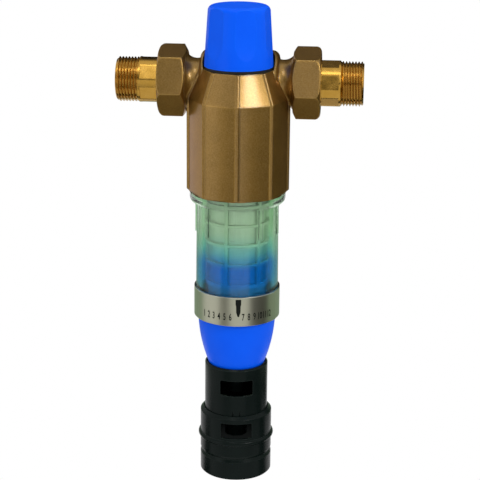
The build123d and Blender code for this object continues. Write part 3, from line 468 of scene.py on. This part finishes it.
# %% [markdown]
# The month ring is a strip of aluminium, rolled into a sleeve and brushed round, so its
# grain runs along the ring and draws lights out into bands. Real lines are a tenth of a
# millimetre high, too fine to show. With 60 lumps to the metre along the ring and 2500 up
# it, they are drawn about 17 mm long and 0.4 mm high.

# %% Brushed metal of the month ring
ring_metal, shader, tree, place = finish_called("brushed_aluminium")
wear, rounded = worn_edges(tree, 0.5)
brushed = add(tree, "ShaderNodeMapping", {"Vector": place, "Scale": (60, 60, 2500)})
lines = add(tree, "ShaderNodeTexNoise", {"Vector": brushed, "Scale": 1.0, "Detail": 2.0})
grey = add(tree, "ShaderNodeMix", {"Factor": lines, "A": "A4A592", "B": "ABAA98"},
           data_type="RGBA")
rubbed = add(tree, "ShaderNodeMix", {"Factor": wear, "A": grey, "B": "CFCFC2"},
             data_type="RGBA")
sheen = add(tree, "ShaderNodeMapRange", {
    "Value": lines, "From Min": 0.3, "From Max": 0.7, "To Min": 0.31, "To Max": 0.35})
scratches = add(tree, "ShaderNodeBump", {
    "Height": lines, "Distance": 0.000004, "Strength": 0.10, "Normal": rounded})
feed(shader, {"Base Color": rubbed, "Metallic": 1.0, "Roughness": sheen, "Normal": scratches})
print(ring_metal.name, "has", len(tree.nodes), "nodes")

# %% [markdown]
# The screen cage, the suction tube and the valve's inner pieces are acetal in its natural
# colour, which is a milky white. It is moulded, so it is smooth, with a fine grain that is
# drawn at 0.6 mm to show through the cup. Behind the green plastic it gives the pale shape
# in the middle of the photograph's cup.

# %% Natural acetal
natural_acetal, shader, tree, place = finish_called("natural_moulded_acetal")
cloud = add(tree, "ShaderNodeTexNoise", {"Vector": place, "Scale": 1000 / 12, "Detail": 2.0})
eroded = add(tree, "ShaderNodeTexNoise", {"Vector": place, "Scale": 1000 / 0.6, "Detail": 2.0})
milky = add(tree, "ShaderNodeMix", {"Factor": cloud, "A": "BCC6B8", "B": "C8D2C4"},
            data_type="RGBA")
mould_grain = add(tree, "ShaderNodeBump", {
    "Height": eroded, "Distance": 0.000012, "Strength": 0.3})
feed(shader, {"Base Color": milky, "Roughness": 0.4, "Normal": mould_grain, "IOR": 1.48})
print(natural_acetal.name, "has", len(tree.nodes), "nodes")

# %% [markdown]
# The spindle, its clip and the valve's stem are drawn stainless steel. Drawing pulls fine
# lines along a rod. With 2500 and 40 lumps to the metre they are 0.4 mm wide and 25 mm long,
# which is coarser than the real ones, so that they show.

# %% Drawn stainless steel
stainless, shader, tree, place = finish_called("drawn_stainless_steel")
drawn = add(tree, "ShaderNodeMapping", {"Vector": place, "Scale": (2500, 2500, 40)})
lines = add(tree, "ShaderNodeTexNoise", {"Vector": drawn, "Scale": 1.0, "Detail": 2.0})
steel = add(tree, "ShaderNodeMix", {"Factor": lines, "A": "B8B7B2", "B": "D2D1CC"},
            data_type="RGBA")
scratches = add(tree, "ShaderNodeBump", {
    "Height": lines, "Distance": 0.000006, "Strength": 0.3})
feed(shader, {"Base Color": steel, "Metallic": 1.0, "Roughness": 0.26, "Normal": scratches})
print(stainless.name, "has", len(tree.nodes), "nodes")

# %% [markdown]
# The screen is woven steel wire. Its real mesh is about a tenth of a millimetre, far too
# fine to show, so the weave is drawn with a step of 1.2 mm, and its openings are clear. A
# cosine round the screen and a cosine up it give the two sets of wires, and the higher of
# the two says whether a point is wire or opening.

# %% Woven screen
woven, shader, tree, place = finish_called("woven_stainless_screen")
weave_step, weave_radius = 0.0012, 0.022
where = add(tree, "ShaderNodeSeparateXYZ", {"Vector": place}).outputs
turn = add(tree, "ShaderNodeMath", {0: where["Y"], 1: where["X"]}, operation="ARCTAN2")
around = add(tree, "ShaderNodeMath", {0: turn, 1: weave_radius * 2 * pi / weave_step},
             operation="MULTIPLY")
upward = add(tree, "ShaderNodeMath", {0: where["Z"], 1: 2 * pi / weave_step},
             operation="MULTIPLY")
upright_wires = add(tree, "ShaderNodeMath", {0: around}, operation="COSINE")
level_wires = add(tree, "ShaderNodeMath", {0: upward}, operation="COSINE")
wires = add(tree, "ShaderNodeMath", {0: upright_wires, 1: level_wires}, operation="MAXIMUM")
solid_share = add(tree, "ShaderNodeMapRange", {"Value": wires, "From Min": 0.1, "From Max": 0.3})
feed(shader, {"Base Color": "E2E6DE", "Metallic": 1.0, "Roughness": 0.55, "Alpha": solid_share})
print(woven.name, "has", len(tree.nodes), "nodes")

# %% [markdown]
# The seals are moulded nitrile rubber. It is a dull black, a little greyer where its wax
# comes to the surface. The pores of the mould are drawn at 0.4 mm, coarser than real ones.

# %% Black nitrile rubber
black_rubber, shader, tree, place = finish_called("black_nitrile_rubber")
bloom = add(tree, "ShaderNodeTexNoise", {"Vector": place, "Scale": 1000 / 5, "Detail": 2.0})
pores = add(tree, "ShaderNodeTexNoise", {"Vector": place, "Scale": 1000 / 0.4, "Detail": 2.0})
dull = add(tree, "ShaderNodeMix", {"Factor": bloom, "A": "0E0E0E", "B": "1A1A19"},
           data_type="RGBA")
pitted = add(tree, "ShaderNodeBump", {"Height": pores, "Distance": 0.00002, "Strength": 0.3})
feed(shader, {"Base Color": dull, "Roughness": 0.62, "Normal": pitted,
              "Specular IOR Level": 0.3})
print(black_rubber.name, "has", len(tree.nodes), "nodes")

# %% [markdown]
# The flat gaskets in the unions are punched out of pressed fibre sheet. Its fibres show as
# short blotches of light and dark green, and it doesn't shine at all.

# %% Green fibre sheet
fibre_sheet, shader, tree, place = finish_called("green_fibre_sheet")
fibres = add(tree, "ShaderNodeTexNoise", {"Vector": place, "Scale": 1000 / 0.8, "Detail": 4.0})
blotches = add(tree, "ShaderNodeMix", {"Factor": fibres, "A": "2E4A38", "B": "4C6B55"},
               data_type="RGBA")
felted = add(tree, "ShaderNodeBump", {"Height": fibres, "Distance": 0.00003, "Strength": 0.4})
feed(shader, {"Base Color": blotches, "Roughness": 0.8, "Normal": felted})
print(fibre_sheet.name, "has", len(tree.nodes), "nodes")

# %% [markdown]
# The CAD record says which kind of material each node is made of, so the nodes are dressed
# from that. Only the screen's mesh has a finish of its own, because its record says plain
# steel and the weave is drawn here.

# %% Give each CAD node its finish
finishes = {
    "cast_brass": cast_brass,
    "turned_brass": turned_brass,
    "blue_plastic": blue_abs,
    "black_plastic": black_pp,
    "clear_cup_plastic": clear_cup,
    "ring_metal": ring_metal,
    "natural_plastic": natural_acetal,
    "stainless_steel": stainless,
    "black_rubber": black_rubber,
    "fibre_gasket": fibre_sheet,
}
slot_of = {entry["node"]: entry["material_slot"] for entry in frame["record"]["subparts"]}
for name, node in nodes.items():
    chosen = woven if name == "screen_mesh" else finishes[slot_of[name]]
    for slot in node.material_slots:
        slot.material = chosen
print("dressed", len(nodes), "nodes")

# %% [markdown]
# ## Threaded tails
#
# A one inch pipe thread has eleven turns to the inch, so 2.309 mm from crest to crest, and
# it is 1.48 mm deep. The CAD leaves it plain. Here the tail is one skin of rows round the
# pipe: collar, shank, six milled flats, and then the thread. The thread's rows follow the
# screw, so that crests and roots are sharp lines. After one turn round the pipe each row
# meets the row one pitch further on. That makes a true right-hand screw, not stacked rings.

# %% Sizes of a tail, in metres
port_y, port_z = 0.014, 0.3055
# Places along the pipe, from the filter's axis
collar_x, shank_x, flats_x = 0.0506, 0.0540, 0.0607
neck_x, thread_x, end_x = 0.0733, 0.0745, 0.0917
# Radii, and half the width over the flats
collar_r, shank_r, thread_r, bore_r = 0.0198, 0.0170, 0.016625, 0.0125
flat_r = 0.0160
thread_pitch, thread_depth, end_chamfer = 0.002309, 0.00148, 0.0015
run_in_length = 0.6 * thread_pitch  # over which the thread's first turn gets its depth
# Each screw row's share of a pitch and share of the thread's depth: root, flank, crest, flank
thread_shape = ((0.0, 1.0), (0.09, 1.0), (0.25, 0.5), (0.44, 0.0), (0.56, 0.0), (0.75, 0.5),
                (0.91, 1.0))
steps = 144
print("thread", round((end_x - thread_x) * 1000, 1), "mm long")


# %% Points of the thread and of the flats
def thread_point(turn, screw_row, angle):
    """Distance along the pipe and radius of a screw row at an angle."""
    share, depth = thread_shape[screw_row]
    x = thread_x + thread_pitch * (turn + share + angle / (2 * pi))
    x = min(max(x, thread_x), end_x)
    run_in = min((x - thread_x) / run_in_length, 1.0)
    return x, min(thread_r - thread_depth * depth * run_in, thread_r - end_chamfer + (end_x - x))


def flats_radius(angle, lean):
    """Radius of the six milled flats at an angle, where they lie inside the round shank."""
    from_middle = (angle - lean + pi / 6) % (pi / 3) - pi / 6
    return min(shank_r, flat_r / cos(from_middle))


angles = [2 * pi * step / steps for step in range(steps)]
print("deepest thread row at", round(min(thread_point(1, 0, a)[1] for a in angles) * 1000, 2), "mm")


# %% Rows of a tail
def level(x, radius):
    """Row that stays at one place along the pipe and at one radius."""
    return [(x, radius)] * steps


def tail_rows(lean):
    """Rows before the screw, rows of the screw, and rows after it."""
    flats = [flats_radius(angle, lean) for angle in angles]
    before = [level(collar_x, bore_r), level(collar_x, collar_r), level(shank_x, collar_r),
              level(shank_x, shank_r), level(flats_x, shank_r), [(flats_x, r) for r in flats],
              [(neck_x, r) for r in flats], level(neck_x, shank_r), level(thread_x, shank_r),
              level(thread_x, thread_r)]
    turns = int((end_x - thread_x) / thread_pitch) + 2
    screw = [[thread_point(turn, screw_row, angle) for angle in angles]
             for turn in range(-1, turns) for screw_row in range(len(thread_shape))]
    after = [level(end_x, thread_r - end_chamfer), level(end_x, bore_r)]
    return before, screw, after


print("rows before, in and after the screw:", [len(rows) for rows in tail_rows(0.0)])


# %% Faces between the rows
def tail_faces(first_screw, last_screw, row_count):
    """Faces from each row to the next, and from the last row back to the first."""
    pitch_rows = len(thread_shape)

    def past_seam(row):
        """Row that a row meets where the angle starts again: one pitch on in the screw."""
        in_screw = first_screw <= row <= last_screw
        return min(row + pitch_rows, last_screw + 1) if in_screw else row

    faces = []
    for row in range(row_count):
        following = (row + 1) % row_count
        here, there = row * steps, following * steps
        for step in range(steps - 1):
            faces.append([here + step, there + step, there + step + 1, here + step + 1])
        seam = [here + steps - 1, there + steps - 1, past_seam(following) * steps]
        if row == first_screw - 1:
            # The screw's first face at the seam also closes the starts of the rows it skips
            seam += [skipped * steps
                     for skipped in range(first_screw + pitch_rows - 1, first_screw - 1, -1)]
        seam.append(past_seam(row) * steps)
        faces.append(list(dict.fromkeys(seam)))
    return faces


# %% Skin of a tail
def tail_piece(name, side, lean):
    """Tail with its collar, flats, thread and bore, turned half round for the inlet side."""
    before, screw, after = tail_rows(lean)
    rows = before + screw + after
    points = [(side * x, port_y + side * r * cos(angle), port_z + r * sin(angle))
              for row in rows for (x, r), angle in zip(row, angles)]
    faces = tail_faces(len(before), len(before) + len(screw) - 1, len(rows))
    mesh = bpy.data.meshes.new(name)
    mesh.from_pydata(points, [], faces)
    mesh.materials.append(turned_brass)
    # Rows held at the thread's two ends lie on each other there, so they are welded
    weld_reach = 1e-6
    shell = bmesh.new()
    shell.from_mesh(mesh)
    bmesh.ops.remove_doubles(shell, verts=shell.verts, dist=weld_reach)
    bmesh.ops.dissolve_degenerate(shell, edges=shell.edges, dist=weld_reach)
    bmesh.ops.recalc_face_normals(shell, faces=shell.faces)
    open_edges = sum(1 for edge in shell.edges if len(edge.link_faces) != 2)
    shell.to_mesh(mesh)
    shell.free()
    # The round parts look smooth, and crests, roots and flats keep their sharp lines
    mesh.shade_smooth()
    mesh.set_sharp_from_angle(angle=radians(28))
    print(name, len(mesh.polygons), "faces,", open_edges, "open edges")
    return into_scene(name, mesh)


# %% Make the two tails
# The front flat of each tail leans up by its own angle, as in the photograph
for side, node, lean in ((-1, "inlet_tailpiece", radians(30)),
                         (1, "outlet_tailpiece", radians(180 - 12))):
    tail = tail_piece(node + "_threaded", side, lean)
    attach(tail, "filter_body")
    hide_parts(node)

# %% [markdown]
# ## Month scale
#
# The ring carries the numbers of the months and a pointer. They are screen printed, so they
# are flat ink: a dull black with a faint mottle. Each number is written as text, turned into
# a mesh, and bent round the ring point by point: its width becomes an angle, and its height
# stays a height.

# %% Printed ink
ink, shader, tree, place = finish_called("black_screen_print_ink")
coat = add(tree, "ShaderNodeTexNoise", {"Vector": place, "Scale": 1000 / 0.8, "Detail": 2.0})
mottled = add(tree, "ShaderNodeMix", {"Factor": coat, "A": "0E110E", "B": "181C18"},
              data_type="RGBA")
raised = add(tree, "ShaderNodeBump", {"Height": coat, "Distance": 0.00001, "Strength": 0.3})
feed(shader, {"Base Color": mottled, "Roughness": 0.65, "Normal": raised,
              "Specular IOR Level": 0.1})
print(ink.name, "has", len(tree.nodes), "nodes")

# %% Bend flat print round the ring
ring_low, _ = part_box("month_ring")
ring_r = -ring_low.y
print_r = ring_r + 0.00012  # just clear of the ring, so that the ink shows


def bend_print(name, points, faces, azimuth, height):
    """Flat print of points (u, v) laid on the ring at an azimuth and a height."""
    turned = [(azimuth + u / ring_r, height + v) for u, v in points]
    mesh = bpy.data.meshes.new(name)
    mesh.from_pydata([(print_r * cos(angle), print_r * sin(angle), z) for angle, z in turned],
                     [], faces)
    mesh.materials.append(ink)
    piece = into_scene(name, mesh)
    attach(piece, "reminder")


print("print lies", round(print_r * 1000, 2), "mm from the axis")

# %% [markdown]
# The numbers stand in two groups, 1 to 6 to the left of the pointer and 7 to 12 to the right.
# Blender's own letters are wide, so they are squeezed, and a small offset makes them bolder.
# Much more offset would break the narrow loops of 6, 8 and 9.

# %% Print the numbers
digit_height, digit_squeeze, digit_boldness = 0.0074, 0.56, 0.00012
digits_z = 0.1358
scale_middle, first_number, number_step = -85.5, 8.4, 7.7  # degrees round the ring

for month in range(1, 13):
    text = bpy.data.curves.new(f"number_{month}", "FONT")
    text.body = str(month)
    text.size = digit_height
    text.align_x = "CENTER"
    text.align_y = "CENTER"
    text.offset = digit_boldness
    lettering = bpy.data.objects.new(f"number_{month}_text", text)
    flat = bpy.data.meshes.new_from_object(lettering)
    if month > 6:
        azimuth = scale_middle + first_number + number_step * (month - 7)
    else:
        azimuth = scale_middle - first_number - number_step * (6 - month)
    bend_print(f"number_{month}", [(v.co.x * digit_squeeze, v.co.y) for v in flat.vertices],
               [tuple(p.vertices) for p in flat.polygons], radians(azimuth), digits_z)
    bpy.data.objects.remove(lettering)
    bpy.data.meshes.remove(flat)
print("printed", month, "numbers")

# %% [markdown]
# The pointer is one shape, wide at the top and blunt at the tip. It is built as two strips
# of faces, left and right of its middle line, so that it can bend with the ring.

# %% Print the pointer
# Half widths and heights of the pointer's outline, from its wide head to its blunt tip
pointer_outline = [(0.0021, 0.1499), (0.0021, 0.1460), (0.0017, 0.1448), (0.0016, 0.1398),
                   (0.0011, 0.1382), (0.0007, 0.1368), (0.0003, 0.1363)]
points = [(side * half_width, z) for side in (1, 0, -1) for half_width, z in pointer_outline]
rows = len(pointer_outline)
faces = [(c * rows + r, c * rows + r + 1, (c + 1) * rows + r + 1, (c + 1) * rows + r)
         for c in (0, 1) for r in range(rows - 1)]
bend_print("pointer", points, faces, radians(-83.4), 0.0)
print("pointer has", len(faces), "faces")
